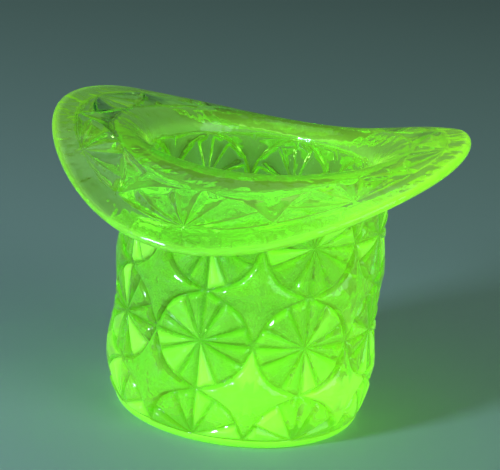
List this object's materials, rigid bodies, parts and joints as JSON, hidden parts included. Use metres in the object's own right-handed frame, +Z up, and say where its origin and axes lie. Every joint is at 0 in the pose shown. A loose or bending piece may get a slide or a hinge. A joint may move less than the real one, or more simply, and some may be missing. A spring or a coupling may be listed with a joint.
{
  "type": "top hat vase",
  "caption": "Small pressed uranium glass vase shaped as an upturned top hat, with a daisy and button pattern and a folded, drooping brim.",
  "frame": {"origin": "middle of the flat foot, on the surface the hat stands on", "axes": "+Z up through the mouth, +X along the higher of the two raised sides of the brim, -Y towards the side where the brim droops lowest"},
  "size_m": [0.1002, 0.104, 0.0755],
  "materials": {
    "uranium_glass": "gloss"
  },
  "bodies": {
    "root": {"base": "uranium_glass", "crown_wall": "uranium_glass", "brim": "uranium_glass", "rim_bead": "uranium_glass"}
  },
  "joints": []
}
